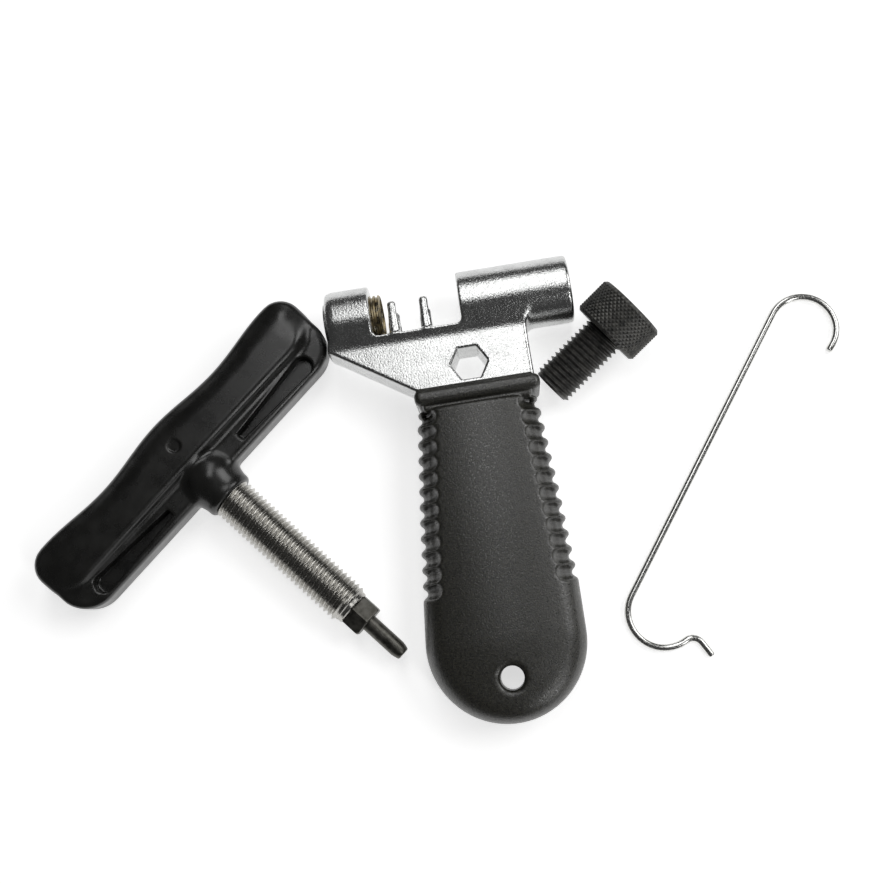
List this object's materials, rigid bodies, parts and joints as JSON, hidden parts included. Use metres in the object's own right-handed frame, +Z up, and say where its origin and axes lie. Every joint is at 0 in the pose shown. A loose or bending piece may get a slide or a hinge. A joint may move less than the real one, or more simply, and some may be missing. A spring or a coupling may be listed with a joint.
{
  "type": "bicycle chain tool",
  "caption": "Bicycle chain tool laid out in pieces: cast body with moulded grip, T-handle driver screw with push pin, knurled anvil screw and wire chain hook",
  "frame": {"origin": "on the axis of the grip's hanging hole, in the plane that every piece lies on", "axes": "+X along the two barrels, from the anvil barrel to the driver barrel; +Y from the hanging hole to the head; +Z up from the table"},
  "size_m": [0.1896, 0.1025, 0.0188],
  "materials": {
    "plated_steel": "satin pearl plating over cast steel",
    "yellow_bush": "yellow plated threaded bush",
    "black_grip": "fine leathery moulded grain, semi-matte",
    "gloss_black": "smooth moulded, semi-gloss",
    "screw_steel": "machined thread with bright crests",
    "dark_steel": "hardened gunmetal",
    "black_oxide": "black oxide, fine diamond knurl",
    "bright_wire": "bright drawn steel wire"
  },
  "bodies": {
    "body": {"frame": "plated_steel", "anvil_bush": "yellow_bush", "grip": "black_grip"},
    "pin": {"push_pin": "dark_steel"},
    "driver": {"driver_handle": "gloss_black", "driver_screw": "screw_steel"},
    "cap": {"pin_cap": "dark_steel"},
    "anvil": {"anvil_screw": "black_oxide"},
    "hook": {"chain_hook": "bright_wire"}
  },
  "joints": [
    {"name": "driver_feed", "type": "slide", "parent": "body", "child": "pin", "axis": [0.6396, -0.7677, -0.0402], "range_m": [-0.0363, 0]},
    {"name": "driver_turn", "type": "hinge", "parent": "pin", "child": "driver", "pos_m": [-0.06538, 0.05903, 0.007], "axis": [0.6396, -0.7677, -0.0402], "range_deg": [-10440, 0]},
    {"name": "cap_slide", "type": "slide", "parent": "driver", "child": "cap", "axis": [0.6396, -0.7677, -0.0402], "range_m": [0, 0.005]},
    {"name": "anvil_turn", "type": "hinge", "parent": "body", "child": "anvil", "pos_m": [0.0188, 0.0633, 0.00495], "axis": [0.8061, 0.554, 0.2079], "continuous": true},
    {"name": "hook_lift", "type": "slide", "parent": "body", "child": "hook", "axis": [0, 0, 1], "range_m": [0, 0.03]}
  ],
  "couplings": [
    {"joint": "driver_feed", "follows": "driver_turn", "m_per_rad": 0.00019894}
  ]
}
